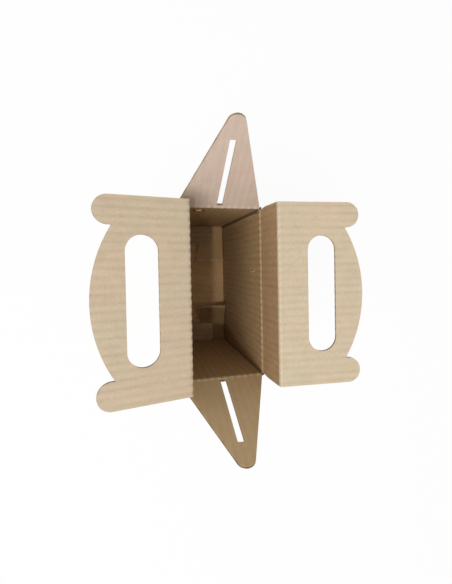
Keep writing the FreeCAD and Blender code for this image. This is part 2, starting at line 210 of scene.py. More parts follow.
def wear_and_highlight_edges(bm, worn, across):
    """Marks the long cut edges that worn(edge) picks, where the board is pinched thinner and painted paler,
    as worn fibres and as a painted highlight along these lit edges.
    """
    build = bpy.context.scene.carrying_box_board
    edges = [e for e in bm.edges
             if e.is_boundary and worn(e) and e.calc_length() > build.flute_pitch]
    rims = []
    for edge in edges:
        normal = edge.link_faces[0].normal.copy()
        first, second = edge.verts
        inward = normal.cross(second.co - first.co).normalized()
        if inward.dot(edge.link_faces[0].calc_center_median() - first.co) < 0:
            inward = -inward
        rims.append((first.co + inward * build.worn_rim, inward, normal))
    pinch = bm.verts.layers.float["pinch"]
    bare = bm.verts.layers.float["bare"]
    # Painted highlight: the rims are painted pale, partly as bared fibres, partly for the light the edges
    # catch
    for v in {v for edge in edges for v in edge.verts}:
        v[pinch] = build.worn
        v[bare] = build.worn
    for point, inward, normal in rims:
        level = [f for f in bm.faces if f.normal.dot(normal) > SAME
                 and abs((f.calc_center_median() - point).dot(normal)) < FINEST]
        geom = set(level).union(*(f.edges for f in level), *(f.verts for f in level))
        bmesh.ops.bisect_plane(bm, geom=list(geom), dist=ON_PLANE, plane_co=point,
                               plane_no=inward)
    slice_up(bm, across, build.flute_pitch / build.cuts_per_flute)
    for v in bm.verts:
        if not v.is_boundary:
            v[pinch] = 0
            v[bare] = 0


# ---- Boards: liners and medium laid on a sheet -----------------------------------------------

def lay(bm, sheet, height, thickness, slot):
    """Adds a solid layer: a copy of the sheet, its top at height(vertex) over the sheet."""
    made = bmesh.ops.duplicate(bm, geom=sheet)["geom"]
    faces = [g for g in made if isinstance(g, bmesh.types.BMFace)]
    raise_by([g for g in made if isinstance(g, bmesh.types.BMVert)], height)
    for face in faces:
        face.material_index = slot
    bmesh.ops.solidify(bm, geom=faces, thickness=thickness)


def lay_board(target, sheet, across, liners=(OUTER, INNER), waves=1.0):
    """Lays outer liner, medium and inner liner on a sheet at the board's middle."""
    build = bpy.context.scene.carrying_box_board
    if waves:
        slice_up(sheet, across, build.flute_pitch / build.cuts_per_flute)
        bmesh.ops.remove_doubles(sheet, verts=sheet.verts, dist=FINEST)
    sheet.normal_update()
    pinch = sheet.verts.layers.float["pinch"]
    rub = sheet.verts.layers.float["rub"]
    crest = (BOARD - 2 * build.liner - build.medium) / 2

    def swing(v):
        return waves * math.cos(math.tau * v.co.dot(across) / build.flute_pitch)

    def sunk(v, swung):
        """How deep a liner lies between two crests: it varies by flute and by wall."""
        flute = math.floor(v.co.dot(across) / build.flute_pitch + (0.5 if swung > 0 else 0))
        uneven = abs(0.5 + noise.cell(Vector((flute, 10 * v.normal.x, 10 * v.normal.y))))
        return (build.ripple * uneven + build.scallop * v[pinch]) * (waves + swung) / 2

    def outer(v):
        return BOARD / 2 * (1 - build.crush * v[pinch]) - sunk(v, -swing(v))

    def middle(v):
        return crest * swing(v) * (1 - build.crush * v[pinch]) + build.medium / 2

    def inner(v):
        return sunk(v, swing(v)) - BOARD / 2 - build.bead * v[rub] + build.liner

    flat = sheet.verts[:] + sheet.edges[:] + sheet.faces[:]
    lay(sheet, flat, outer, build.liner, liners[0])
    lay(sheet, flat, middle, build.medium, MEDIUM)
    lay(sheet, flat, inner, build.liner, liners[1])
    bmesh.ops.delete(sheet, geom=[g for g in flat if isinstance(g, bmesh.types.BMFace)],
                     context="FACES")
    mesh = new_mesh("layers", sheet)
    target.from_mesh(mesh)
    bpy.data.meshes.remove(mesh)


def new_mesh(name, bm):
    """Turns the bmesh into a mesh."""
    mesh = bpy.data.meshes.new(name)
    bm.to_mesh(mesh)
    bm.free()
    return mesh


def new_object(name, data):
    """Puts an object with the data into the scene."""
    made = bpy.data.objects.new(name, data)
    bpy.context.scene.collection.objects.link(made)
    return made


def new_piece(name, bm, liners):
    """Makes the piece's object, with sharp edges where its faces meet at an angle."""
    bmesh.ops.remove_doubles(bm, verts=bm.verts, dist=WELD_PIECE)
    for face in bm.faces:
        face.smooth = True
    for edge in bm.edges:
        edge.smooth = edge.calc_face_angle(0) < SHARP
    piece = new_object(name, new_mesh(name, bm))
    piece.data.materials.append(fluting())
    for liner in liners:
        piece.data.materials.append(kraft(liner))
    return piece


class Panel:
    """A flat panel that swings on a crease: its sheet, its outward normal and its rise."""

    def __init__(self, node, joint, facing, across):
        self.node, self.across = node, across
        self.joint = JOINTS[joint]
        self.body = self.joint["child"]
        self.crease = Vector(self.joint["pos_m"])
        self.sheet = skin(node, facing, across)
        self.normal = self.sheet.faces[:][0].normal.copy()
        rise = self.normal.cross(across)
        middle = sum((v.co for v in self.sheet.verts), Vector()) / len(self.sheet.verts)
        self.rise = rise if rise.dot(middle - self.crease) > 0 else -rise

    def start_at(self, reach):
        """Takes the panel back to reach from its crease, and returns its half length there."""
        cut(self.sheet, self.crease + self.rise * reach, -self.rise, clear=True)
        edge = [v for v in self.sheet.verts
                if abs((v.co - self.crease).dot(self.rise) - reach) < NEAR]
        return max(v.co.dot(self.across) for v in edge)

    def end_at(self, crease, reach):
        """Takes the panel back to reach short of the next crease."""
        cut(self.sheet, crease - self.rise * reach, self.rise, clear=True)

    def build(self, liners):
        """Makes the panel's board, which moves with its body."""
        sink_to_middle(self.sheet)
        bm = blank()
        lay_board(bm, self.sheet, self.across)
        piece = new_piece(self.body + "_board", bm, liners)
        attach(piece, self.body)
        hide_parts(self.node)
        return piece


def crease_board(name, panel, before, outward, widths, liners, reach, ridge):
    """The scored board that bends from the direction before into the panel.

    Its half width changes from the first to the second of widths. Ridge is the share of the
    full bead by which its inner ridge stands out, and of the paler paint on it, which is
    rubbed paper and a painted highlight.
    """
    build = bpy.context.scene.carrying_box_board
    bm = blank()
    pinch = bm.verts.layers.float["pinch"]
    rub = bm.verts.layers.float["rub"]
    grid = bmesh.ops.create_grid(bm, x_segments=1, y_segments=build.bends, size=0.5)
    for v in grid["verts"]:
        side, run = 2 * v.co.x, v.co.y + 0.5
        v[pinch] = math.sin(math.pi * run) ** 2
        # The ridge's pale paint: rubbed paper and a painted highlight
        v[rub] = ridge * v[pinch]
        along = side * (widths[0] + (widths[1] - widths[0]) * run)
        v.co = (panel.crease + panel.across * along
                - before * (reach * (1 - run) ** 2) + panel.rise * (reach * run ** 2))
    bm.normal_update()
    if sum((f.normal for f in bm.faces), Vector()).dot(outward + panel.normal) < 0:
        bmesh.ops.reverse_faces(bm, faces=bm.faces)
    board = blank()
    lay_board(board, bm, panel.across)
    piece = new_piece(name, board, liners)
    start, end = panel.crease - before * reach, panel.crease + panel.rise * reach
    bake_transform(piece, panel.joint["parent"], panel.joint["child"],
             start.lerp(end, 0.25), start.lerp(end, 0.75))
    return piece


# ---- Finishes -----------------------------------------------------------------------------

# Outputs of the texture coordinate node and of the attribute node
OBJECT, FACTOR = 3, 2
WHITE = (1, 1, 1, 1)

# Noises of the papers: their scale per metre, detail and roughness
CLOUDS = (22.0, 3.0, 0.5)
PATCHES = (90.0, 3.0, 0.6)
MOTTLE = (520.0, 3.0, 0.6)
FIBRES = (1500.0, 3.0, 0.6)
MEDIUM_FIBRES = (1800.0, 3.0, 0.6)
SPECKS = (1300.0, 1.0, 0.5)
FLUTE_WANDER = (160.0, 2.0, 0.5)
FLUTE_STRENGTH = (150.0, 2.0, 0.7)

# How little a noise changes along the fibres and along the flutes
FIBRE_STRETCH, FLUTE_STRETCH = 0.2, 0.15

# How strongly each noise tells in a liner's tone and in its relief
FIBRE_TONE, MOTTLE_TONE, PATCH_TONE, SPECK_TONE = 0.16, 0.26, 0.22, 0.12
FIBRE_RELIEF, MOTTLE_RELIEF, PATCH_RELIEF = 0.5, 0.35, 0.15
SPECK_LEVEL = 0.70  # specks are where their noise is above this
CLOUD_CONTRAST = 3.0

# Lines over the flutes, partly painted shade of the washboard ripple: how far they wander, in
# radians, how sharp a crest is, and the least strength, start and steepness with which they fade in
LINE_WANDER, LINE_SHARPNESS = 1.2, 4.0
LINE_LEAST, LINE_START, LINE_RISE = 0.1, 0.3, 2.2

# Tints of a paper's own colour; the rub tint is partly a painted highlight on the crease ridges
CLOUD_TINTS = ((1.025, 0.985, 0.985), (0.975, 1.005, 0.985))
RUB_AND_HIGHLIGHT_TINT = (1.3, 1.38, 1.5)
MEDIUM_TINT = (0.72, 0.72, 0.72)

# Each liner's colour among the finish settings, the direction its flutes repeat along, and
# how strongly its grain and its flutes show. Many colours are one paper painted lighter or
# darker for the light and shade on each part, and the flute lines are partly painted shade
LINERS = {
    "long_wall_outside": ("outside", Y, 1.0, 1.0), "long_wall_inside": ("inside", Y, 2.8, 1.7),
    "end_wall_outside": ("outside", X, 1.0, 1.0), "end_wall_inside": ("inside", X, 2.0, 1.7),
    "left_handle_top": ("left_handle", Y, 1.0, 1.1),
    "right_handle_top": ("right_handle", Y, 1.0, 1.0),
    "roof_inside": ("roof", Y, 2.8, 1.4),
    "base_inside": ("base", Y, 1.0, 0.5), "lock_inside": ("lock", Y, 1.5, 1.3),
    "rear_base_inside": ("rear_base", X, 0.8, 0.6),
    "front_base_inside": ("front_base", X, 0.8, 0.6),
    "rear_flap_face": ("rear_flap", X, 0.5, 0.5), "front_flap_face": ("front_flap", X, 0.6, 0.6),
    "crushed_fold": ("crushed", Y, 1.0, 1.0), "tab_face": ("tab", Y, 1.5, 0.6),
    "torn_liner": ("torn", X, 1.0, 1.0), "torn_gap": ("gap", X, 1.0, 1.0),
}

# Where the carton's corners get a dark line of painted shade on an inner liner, along its run
CORNERS = {"long_wall_inside": HALF_LENGTH, "end_wall_inside": HALF_WIDTH}


class Wire:
    """A node's output that Python's operators work on; each operation adds a Math node."""

    def __init__(self, graph, socket):
        self.graph, self.socket = graph, socket

    def math(self, operation, *others):
        return self.graph.add("ShaderNodeMath", {"operation": operation}, self, *others)

    def clamped(self):
        """The value, kept between 0 and 1."""
        return self.math("MAXIMUM", 0.0).math("MINIMUM", 1.0)

    def __add__(self, other):
        return self.math("ADD", other)

    def __mul__(self, other):
        return self.math("MULTIPLY", other)

    def __sub__(self, other):
        return self.math("SUBTRACT", other)

    def __rsub__(self, other):
        return self.graph.add("ShaderNodeMath", {"operation": "SUBTRACT"}, other, self)

    def __pow__(self, other):
        return self.math("POWER", other)

    __radd__ = __add__
    __rmul__ = __mul__


class Graph:
    """A material's or the world's node tree, emptied."""

    def __init__(self, tree):
        self.tree = tree
        tree.nodes.clear()

    def add(self, kind, settings=None, *values, output=0, **named):
        """Adds a node; values go to its enabled inputs in order, named ones by name."""
        node = self.tree.nodes.new(kind)
        for key, value in (settings or {}).items():
            setattr(node, key, value)
        inputs = [s for s in node.inputs if s.enabled]
        pairs = list(zip(inputs, values))
        pairs += [(next(s for s in inputs if s.name == key.replace("_", " ")), value)
                  for key, value in named.items()]
        for socket, value in pairs:
            if isinstance(value, Wire):
                self.tree.links.new(value.socket, socket)
            else:
                socket.default_value = value
        outputs = [s for s in node.outputs if s.enabled]
        return Wire(self, outputs[output]) if outputs else None

    def place(self):
        """The place on the object, along its own axes."""
        return self.add("ShaderNodeTexCoord", output=OBJECT)

    def part(self, vector, axis):
        """The vector's part along X (0), Y (1) or Z (2)."""
        return self.add("ShaderNodeSeparateXYZ", {}, vector, output=axis)

    def mark(self, name):
        """The value of a vertex attribute."""
        return self.add("ShaderNodeAttribute", {"attribute_name": name}, output=FACTOR)

    def mix(self, factor, first, second, blend="MIX"):
        """Mixes two colours."""
        return self.add("ShaderNodeMix", {"data_type": "RGBA", "blend_type": blend},
                        factor, first, second)

    def noise(self, vector, scale, detail, roughness):
        """Noise about 0.5."""
        return self.add("ShaderNodeTexNoise", {}, Vector=vector, Scale=scale,
                        Detail=detail, Roughness=roughness)

    def stretch(self, vector, scale):
        """The vector scaled along each axis."""
        return self.add("ShaderNodeMapping", {}, Vector=vector, Scale=scale)

    def seen(self):
        """1 where a surface is seen, directly, in a gloss or through glass, and 0 elsewhere."""
        path = self.tree.nodes.new("ShaderNodeLightPath")
        seen, gloss, through = (Wire(self, path.outputs[name]) for name in
                                ("Is Camera Ray", "Is Glossy Ray", "Is Transmission Ray"))
        return seen.math("MAXIMUM", gloss).math("MAXIMUM", through)

    def paper(self, tone, height, depth, roughness, ior):
        """A paper's surface, with a relief of that depth from height."""
        bump = self.add("ShaderNodeBump", {}, Strength=0.6, Distance=depth, Height=height)
        shader = self.add("ShaderNodeBsdfPrincipled", {}, Base_Color=tone, Normal=bump,
                          Roughness=roughness, IOR=ior)
        self.add("ShaderNodeOutputMaterial", {}, shader)


def rgba(paper, tint=(1, 1, 1)):
    """The paper's colour, tinted, with full alpha."""
    return (paper[0] * tint[0], paper[1] * tint[1], paper[2] * tint[2], 1.0)


def new_material(name):
    """A material and its graph."""
    material = bpy.data.materials.new(name)
    material.use_nodes = True
    return material, Graph(material.node_tree)


def flute_lines(graph, place, run, along_flutes):
    """Lines over the flutes: high on a crest and low in a dip, uneven and wandering; partly the paper's own
    lines, partly painted shade of the washboard ripple.
    """
    pitch = bpy.context.scene.carrying_box_board.flute_pitch
    wander = graph.noise(graph.stretch(place, along_flutes), *FLUTE_WANDER)
    flute = (run * (math.tau / pitch) + (wander - 0.5) * LINE_WANDER).math("COSINE")
    crest = (flute * 0.5 + 0.5) ** LINE_SHARPNESS
    strength = graph.noise(graph.stretch(place, along_flutes), *FLUTE_STRENGTH)
    strength = ((strength - LINE_START) * LINE_RISE).math("MAXIMUM", LINE_LEAST)
    return (flute + crest) * strength


def kraft(name):
    """Kraft liner: fibres square to the flutes, clouds of tone, and lines over the flutes; its colour and
    marks are partly painted light and shade.
    """
    found = bpy.data.materials.get(name)
    if found:
        return found
    look = bpy.context.scene.carrying_box_finish
    paper, across, grainy, lined = LINERS[name]
    paper = getattr(look, paper)
    material, graph = new_material(name)
    place = graph.place()
    if across == X:
        run = graph.part(place, 0)
        along_fibres = (FIBRE_STRETCH, 1, 1)
        along_flutes = (1, FLUTE_STRETCH, FLUTE_STRETCH)
    else:
        run = graph.part(place, 1)
        along_fibres = (1, FIBRE_STRETCH, 1)
        along_flutes = (FLUTE_STRETCH, 1, FLUTE_STRETCH)

    cloud = graph.noise(place, *CLOUDS)
    patch = graph.noise(place, *PATCHES)
    fibres = graph.noise(graph.stretch(place, along_fibres), *FIBRES)
    mottle = graph.noise(place, *MOTTLE)
    specks = graph.noise(place, *SPECKS).math("GREATER_THAN", SPECK_LEVEL)
    line = flute_lines(graph, place, run, along_flutes)

    tone = graph.mix(((cloud - 0.5) * CLOUD_CONTRAST + 0.5).clamped(),
                     rgba(paper, CLOUD_TINTS[0]), rgba(paper, CLOUD_TINTS[1]))
    grain = (fibres - 0.5) * FIBRE_TONE + (mottle - 0.5) * MOTTLE_TONE
    shade = (1.0 + grain * grainy + (patch - 0.5) * PATCH_TONE
             - line * (look.flute_lines * lined) - specks * SPECK_TONE)
    tone = graph.mix(1.0, tone, graph.add("ShaderNodeCombineXYZ", {}, shade, shade, shade),
                     "MULTIPLY")
    # Crease ridges painted paler: rubbed paper and a painted highlight
    tone = graph.mix(graph.mark("rub") * look.rub_strength, tone, rgba(paper, RUB_AND_HIGHLIGHT_TINT))
    # Painted shade: a dark line along the carton's inner corners
    if name in CORNERS:
        clear = CORNERS[name] - BOARD / 2 - run.math("ABSOLUTE")
        clear = (clear * (1 / look.corner_line)).clamped()
        tone = graph.mix(clear, rgba(look.crushed), tone)
    # Cut-edge rims painted pale: bared fibres and a painted highlight
    tone = graph.mix(graph.mark("bare"), tone, rgba(look.torn))

    height = fibres * FIBRE_RELIEF + mottle * MOTTLE_RELIEF + patch * PATCH_RELIEF
    graph.paper(tone, height, depth=0.00015, roughness=0.58 + (fibres - 0.5) * 0.3, ior=1.5)
    return material


def fluting():
    """The medium: rougher and browner than the liners, its dark partly painted shade in the cut edges."""
    found = bpy.data.materials.get("fluting_medium")
    if found:
        return found
    look = bpy.context.scene.carrying_box_finish
    material, graph = new_material("fluting_medium")
    fibres = graph.noise(graph.place(), *MEDIUM_FIBRES)
    tone = graph.mix(fibres, rgba(look.fluting, MEDIUM_TINT), rgba(look.fluting))
    graph.paper(tone, fibres, depth=0.0001, roughness=0.8 + (fibres - 0.5) * 0.2, ior=1.35)
    return material


# ---- Settings -------------------------------------------------------------------------------

def length(name, description, default, least=0.0):
    return bpy.props.FloatProperty(name=name, description=description, default=default,
                                   min=least, unit="LENGTH", precision=5)


def share(name, description, default):
    return bpy.props.FloatProperty(name=name, description=description, default=default,
                                   min=0.0, max=1.0)


def amount(name, description, default):
    return bpy.props.FloatProperty(name=name, description=description, default=default, min=0.0)


def count(name, description, default):
    return bpy.props.IntProperty(name=name, description=description, default=default, min=4)


def color(name, description, default):
    return bpy.props.FloatVectorProperty(name=name, description=description, default=default,
                                         subtype="COLOR", size=3, min=0.0, max=1.0)


def place(name, description, default):
    return bpy.props.FloatVectorProperty(name=name, description=description, default=default,
                                         subtype="TRANSLATION", unit="LENGTH")


class BoardSettings(bpy.types.PropertyGroup):
    """Sizes of the corrugated board, its creases, and the sprung base with the wear and painted highlight of
    its cut edges.
    """

    flute_pitch: length("Flute pitch", "From one crest of the medium to the next", 0.00635)
    liner: length("Liner", "Thickness of a liner", 0.00033)
    medium: length("Medium", "Thickness of the wavy medium", 0.00026)
    ripple: length("Ripple", "How deep the liners sink between the crests", 0.00011)
    fold_reach: length("Fold reach", "Scored board on each side of a crease", 0.003)
    sharp_reach: length("Sharp fold reach", "The same, on the creases of the handles", 0.0018)
    bead: length("Bead", "How far a crease's inner ridge stands out", 0.0012)
    scallop: length("Scallop", "How much deeper the liners sink at a crease", 0.0005)
    crush: share("Crush", "Share of the thickness lost at a crease", 0.3)
    leg_root: length("Leg root", "Where the lock flap's legs bend, along X", -0.0209, -OUTSIDE)
    leg_lift: length("Leg lift", "How far the lock flap's legs spring up", 0.009)
    rear_lift: length("Rear lift", "The same, for the free corner of the base's rear flap", 0.020)
    front_lift: length("Front lift", "The same, for that of its front flap", 0.029)
    curl: share("Curl", "Share of that lift along these flaps' whole edge", 0.22)
    front_slant: length("Front slant", "How far the front flap's edge slants inwards", 0.004)
    flap_gap: length("Flap gap", "How far these corners stand off the right wall", 0.003)
    tab_taper: length("Tab taper", "How much narrower the glue tab is at its top", 0.007)
    # How far the pale rim of wear and painted highlight reaches in from a cut edge
    worn_rim: length("Worn rim", "How far wear reaches in from a cut edge", 0.0031)
    # Crush of the cut edges, and how pale they are painted, as bared fibres and as a painted highlight
    worn: share("Worn", "Crush and bareness of the cut edges", 0.72)
    cuts_per_flute: count("Cuts per flute", "Strips that draw one wave", 8)
    bends: count("Bends", "Strips that draw one crease", 12)


class FinishSettings(bpy.types.PropertyGroup):
    """Colours of the papers; many are one paper painted lighter or darker for the light and shade on each
    part, and some are painted shade alone.
    """

    outside: color("Outside", "Outer liner", (0.56, 0.43, 0.27))
    # Painted shade: the walls' inside is the handle tops' paper, painted darker for the shade in the box
    inside: color("Inside", "Inner liner of the walls", (0.44, 0.295, 0.15))
    # Painted light: the main bottom flap is the walls' paper, painted lighter and warmer for the light on
    # the floor
    base: color("Base", "Inner liner of the main bottom flap", (0.66, 0.42, 0.19))
    # Painted shade: the lock flap is painted a little darker and redder, for the shade on its legs
    lock: color("Lock", "The same, on the lock flap", (0.425, 0.272, 0.133))
    # Painted light: the rear bottom flap is painted lighter than the front one
    rear_base: color("Rear base flap", "The same, on the flap at its rear", (0.55, 0.35, 0.16))
    # Painted shade: the front bottom flap is painted darker, for the shade by the front wall
    front_base: color("Front base flap", "The same, on the flap at its front",
                      (0.37, 0.225, 0.095))
    # Painted shade: the roof panels' inner face is the handle tops' paper, painted darker for its shade
    roof: color("Roof", "Inner liner of the roof panels", (0.42, 0.27, 0.14))
    # Painted shade: the dark in the glue tab's fold and in the carton's corners
    crushed: color("Crushed", "Score lines at the glue tab's fold and in the carton's corners",
                   (0.17, 0.105, 0.05))
    # Painted light: the glue tab's face is painted lighter than the wall behind it, for the light it catches
    tab: color("Tab", "Face of the glue tab", (0.48, 0.33, 0.175))
    # Bared fibres of the nick and the scuff; on the cut edges also a painted highlight
    torn: color("Torn", "Fibres bared by wear", (0.78, 0.54, 0.32))
    # Painted shade: the dark of the nick's pits, laid on shreds where the holes are
    gap: color("Gap", "Depth of a nick", (0.10, 0.06, 0.03))
    # One paper: the right handle top is painted lighter than the left for the light it catches
    left_handle: color("Left handle", "Top of the left handle panel", (0.536, 0.4245, 0.2926))
    right_handle: color("Right handle", "Top of the right handle panel", (0.571, 0.462, 0.321))
    # Painted light and shade: the end flaps are the end walls' paper, the rear one painted lighter and
    # pinker, the front one darker and browner, partly their own hues
    rear_flap: color("Rear flap", "Inner liner of the rear end flap", (0.60, 0.472, 0.385))
    front_flap: color("Front flap", "Inner liner of the front end flap", (0.543, 0.388, 0.210))
    # Partly painted shade: the medium's browner tone is deepened for the shade in the cut edges
    fluting: color("Fluting", "Wavy medium", (0.42, 0.30, 0.18))
    # Painted shade: the width of the dark line in the corners
    corner_line: length("Corner line", "Width of the dark line in the carton's corners", 0.0016)
    # Paler crease ridges: rubbed paper and a painted highlight
    rub_strength: share("Rub", "How much paler a crease is", 0.85)
    # Partly painted shade: the flute lines stand in for the washboard ripple's shading
    flute_lines: share("Flute lines", "Tone of the lines over the flutes", 0.06)


class StageSettings(bpy.types.PropertyGroup):
    """Floor, light and camera."""

    floor: color("Floor", "Colour with which the floor lights the box", (0.9, 0.9, 0.9))
    white: share("White", "Share of plain white in the floor as it is seen", 0.93)
    sky: amount("Sky", "Even light from all round", 0.54)
    key: amount("Key", "Power of the lamp in front, in watts", 13.0)
    key_size: length("Key size", "Width of the lamp in front", 0.8)
    key_place: place("Key place", "Where the lamp in front hangs", (-0.75, -0.5, 1.5))
    top: amount("Top", "Power of the small lamp nearer the middle, in watts", 2.8)
    top_size: length("Top size", "Width of the small lamp", 0.06)
    top_place: place("Top place", "Where the small lamp hangs", (-0.37, -0.25, 1.5))
    aim: place("Aim", "What the lamps point at", (0.0, 0.0, 0.15))
    camera_place: place("Camera place", "Where the camera stands", (-0.0681, 0.0282, 0.5242))
    camera_tilt: bpy.props.FloatVectorProperty(
        name="Camera tilt", description="Turns about X, Y and Z from straight down",
        subtype="EULER", default=(-0.024, -0.2741, -0.0238))
    lens: amount("Lens", "Focal length in mm", 23.12)
    shift: bpy.props.FloatVectorProperty(
        name="Shift", description="Camera shift, in widths of the sensor", size=2,
        default=(-0.0401, -0.0363))


# ---- Operators ------------------------------------------------------------------------------

class BuildCarton(bpy.types.Operator):
    """Builds the folded sheet: walls, bottom flaps, glue tab and corner folds"""

    bl_idname = "carrying_box.carton"
    bl_label = "Carton"

    base_top = 8 * BOARD  # the whole base lies below this
    spring_top = 5 * BOARD  # what springs up in the base starts below this
    curl_power = 3  # how late along its edges a flap springs up
    gap_power = 9  # how near to its corner it stands off the right wall
    tab_level = HALF_WIDTH - 1.5 * BOARD  # how far from the box's middle the tab's face lies
    tab_rise = 2 * BOARD  # how much higher the glue tab reaches than in the solid
    tab_fold = 1.9 * BOARD  # from the rear wall's middle to the end of the tab's fold
    tab_crush = BOARD / 4  # how deep this fold is pressed
    seam_end = 1.3  # half boards from the rear wall's end to the right wall's middle
    seam_edge = 0.9  # half boards from the rear wall's middle to the right wall's raw edge

    def execute(self, context):
        bm = blank()
        for facing, across, liners in ((X, Y, (OUTER, INNER)), (-X, Y, (OUTER, LOCK)),
                                       (Y, X, (END_OUTER, END_INNER)),
                                       (-Y, X, (END_OUTER, END_INNER))):
            lay_board(bm, self.wall(facing, across), across, liners)
        for side, end in ((1, -1), (-1, -1), (-1, 1)):
            lay_board(bm, self.corner(side, end), Z, waves=0.0)
        fold = HALF_LENGTH - self.tab_fold
        lay_board(bm, self.tab(-OUTSIDE, fold), Y, (TAB, OUTER))
        # The tab's fold is pressed in, and its liners are painted dark as the shade in that recess
        lay_board(bm, self.tab(fold, HALF_LENGTH - BOARD / 2, self.tab_crush), Y,
                  (FOLD_SHADE, FOLD_SHADE), waves=0.0)
        self.paper_base(bm)
        piece = new_piece("carton_board", bm, CARTON_LINERS)
        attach(piece, "carton")
        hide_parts("carton_body")
        return {"FINISHED"}

    def wall(self, facing, across):
        """The sheet of a wall and of the bottom flap that folds from it."""
        reach = bpy.context.scene.carrying_box_board.fold_reach
        sheet = skin("carton_body", facing, across, turn=FOLDED, level=OUTSIDE)
        cut(sheet, Z * (MOUTH - reach), Z, clear=True)
        self.open_seam(sheet, facing)
        # Its free edges across the box get wear and a painted highlight
        wear_and_highlight_edges(sheet, self.is_free, across)
        sink_to_middle(sheet)
        self.spring_up(sheet, facing, across)
        return sheet

    def paper_base(self, bm):
        """Paints the inner liners of the bottom flaps lighter or darker for the light and shade on each, and
        gives the left wall above the lock flap the walls' inner liner.
        """
        for face in bm.faces:
            middle = face.calc_center_median()
            ends = REAR_BASE if middle.y > 0 else FRONT_BASE
            if middle.z < self.base_top:
                low = {INNER: BASE, END_INNER: ends}
                face.material_index = low.get(face.material_index, face.material_index)
            elif face.material_index == LOCK:
                face.material_index = INNER

    @staticmethod
    def is_free(edge):
        """Tells a bottom flap's free edge across the box from its sides and the folds."""
        inner = HALF_LENGTH - BOARD / 2 - FINEST
        run = (edge.verts[1].co - edge.verts[0].co).normalized()
        looks_down = edge.link_faces[0].normal.z < -0.5
        return (looks_down and abs(run.x) > ALIKE
                and all(abs(v.co.y) < inner for v in edge.verts))

    def spring_up(self, sheet, facing, across):
        """Lifts the free corners of the end flaps of the base and of the lock flap's legs."""
        build = bpy.context.scene.carrying_box_board
        hinge = HALF_LENGTH - BOARD
        if facing == -X:
            cut(sheet, X * build.leg_root, X)
        if across == X:
            for k in range(1, build.bends):
                cut(sheet, facing * (hinge * k / build.bends), facing)
        widest = max(1 - abs(v.co.y) / hinge for v in sheet.verts)
        for v in sheet.verts:
            low = v.co.z < self.spring_top
            if facing == -X and low and v.co.x > build.leg_root and abs(v.co.y) > hinge / 2:
                v.co.z += build.leg_lift * (v.co.x - build.leg_root) / HALF_WIDTH
            if across == X and low and abs(v.co.y) < hinge:
                turn = (v.co.x + HALF_WIDTH) / (2 * HALF_WIDTH)
                free = 1 - abs(v.co.y) / hinge
                rear = v.co.y > 0
                curl = (build.curl * (free / widest) ** self.curl_power
                        + (1 - build.curl) * turn ** self.curl_power)
                v.co.z += (build.rear_lift if rear else build.front_lift) * curl * free
                v.co.x -= build.flap_gap * turn ** self.gap_power * free
                v.co.y += 0.0 if rear else build.front_slant * turn * free

    @staticmethod
    def corner(side, end):
        """The sheet of the scored board that turns from a long wall into an end wall."""
        build = bpy.context.scene.carrying_box_board
        sheet = blank()
        pinch = sheet.verts.layers.float["pinch"]
        half = BOARD / 2
        grid = bmesh.ops.create_grid(sheet, x_segments=build.bends, y_segments=1, size=0.5)
        for v in grid["verts"]:
            run = v.co.x + 0.5
            angle = run * math.pi / 2
            v[pinch] = math.sin(math.pi * run) ** 2
            level = half if v.co.y < 0 else MOUTH
            v.co = (side * (HALF_WIDTH - half + half * math.sin(angle)),
                    end * (HALF_LENGTH - half + half * math.cos(angle)), level)
        sheet.normal_update()
        if sheet.faces[:][0].normal.dot(side * X + end * Y) < 0:
            bmesh.ops.reverse_faces(sheet, faces=sheet.faces)
        return sheet

    def tab(self, front, rear, crush=0.0):
        """The sheet of the glue tab between two places along Y; it narrows to its top."""
        sheet = skin("carton_body", -X, Y, level=-self.tab_level)
        free_edge = min(v.co.y for v in sheet.verts)
        cut(sheet, Y * front, -Y, clear=True)
        cut(sheet, Y * rear, Y, clear=True)
        for v in sheet.verts:
            if v.co.z > MOUTH / 2:
                v.co.z += self.tab_rise
                if v.co.y < free_edge + FINEST:
                    v.co.y += bpy.context.scene.carrying_box_board.tab_taper
        sink_to_middle(sheet)
        raise_by(sheet.verts[:], lambda v: -crush)
        return sheet

    def open_seam(self, sheet, facing):
        """Lets the right wall's raw edge pass the rear wall's end, with a seam between."""
        half = BOARD / 2
        if facing == Y:
            cut(sheet, X * (HALF_WIDTH - self.seam_end * half), X, clear=True)
        if facing == X:
            for v in sheet.verts:
                if v.co.x > HALF_WIDTH - half + NEAR and v.co.y > HALF_LENGTH - half - NEAR:
                    v.co.y = HALF_LENGTH + self.seam_edge * half


